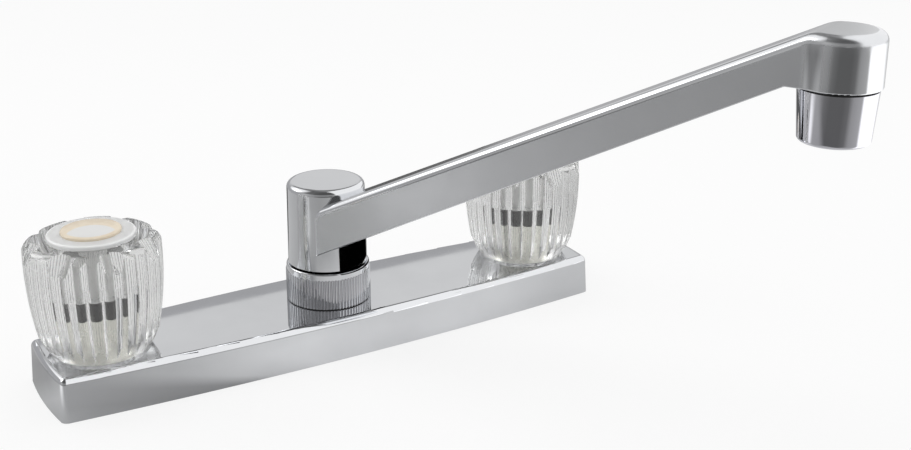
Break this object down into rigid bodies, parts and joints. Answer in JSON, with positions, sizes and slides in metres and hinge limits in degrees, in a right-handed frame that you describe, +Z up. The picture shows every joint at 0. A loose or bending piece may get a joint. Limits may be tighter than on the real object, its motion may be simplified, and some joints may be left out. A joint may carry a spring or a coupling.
{
  "type": "two handle kitchen faucet",
  "caption": "Chrome deck plate kitchen faucet with clear fluted knobs on stem valves and a long rising swing spout with an aerator; the knobs turn and the spout swivels.",
  "frame": {"origin": "middle of the deck plate's foot, on the spout's swivel axis, at the sink deck's surface", "axes": "+Z up, +X along the deck plate towards the cold handle, -Y towards the user"},
  "size_m": [0.2572, 0.239, 0.2083],
  "materials": {
    "chrome_plate": "polished chrome",
    "chrome": "polished chrome",
    "chrome_aerator": "polished chrome",
    "foam": "matte",
    "brass": "machined",
    "copper": "drawn copper",
    "steel": "plain",
    "steel_mesh": "woven",
    "rubber": "matte",
    "black_plastic": "matte",
    "white_plastic": "moulded",
    "index_plastic": "glossy, a pale ring round a white centre",
    "clear_acrylic": "clear moulded acrylic"
  },
  "bodies": {
    "base": {"deck_plate": "chrome_plate", "putty_plate": "foam", "spout_tee": "brass", "nut_washer": "rubber", "spout_nut": "chrome", "hot_valve_body": "brass", "hot_seat_cup": "rubber", "hot_seat_spring": "steel", "hot_guide_bush": "white_plastic", "hot_bonnet_nut": "chrome", "hot_friction_ring": "black_plastic", "hot_mounting_washer": "steel", "hot_mounting_nut": "white_plastic", "hot_cross_tube": "copper", "cold_valve_body": "brass", "cold_seat_cup": "rubber", "cold_seat_spring": "steel", "cold_guide_bush": "white_plastic", "cold_bonnet_nut": "chrome", "cold_friction_ring": "black_plastic", "cold_mounting_washer": "steel", "cold_mounting_nut": "white_plastic", "cold_cross_tube": "copper"},
    "hot_handle": {"hot_stem": "brass", "hot_stem_o_ring": "rubber", "hot_knob": "clear_acrylic", "hot_broach_insert": "white_plastic", "hot_handle_screw": "brass", "hot_index_button": "index_plastic"},
    "cold_handle": {"cold_stem": "brass", "cold_stem_o_ring": "rubber", "cold_knob": "clear_acrylic", "cold_broach_insert": "white_plastic", "cold_handle_screw": "brass", "cold_index_button": "index_plastic"},
    "spout": {"spout_body": "chrome", "stub_o_rings": "rubber", "retainer_ring": "black_plastic", "aerator_housing": "chrome_aerator", "aerator_screen": "steel_mesh", "aerator_flow_core": "white_plastic", "aerator_washer": "rubber", "aerator_gasket": "rubber"}
  },
  "joints": [
    {"name": "spout_swivel", "type": "hinge", "parent": "base", "child": "spout", "pos_m": [0, 0, 0.03], "axis": [0, 0, 1], "continuous": true},
    {"name": "hot_handle_turn", "type": "hinge", "parent": "base", "child": "hot_handle", "pos_m": [-0.1016, 0, 0.03], "axis": [0, 0, 1], "range_deg": [0, 90]},
    {"name": "cold_handle_turn", "type": "hinge", "parent": "base", "child": "cold_handle", "pos_m": [0.1016, 0, 0.03], "axis": [0, 0, 1], "range_deg": [-90, 0]}
  ]
}
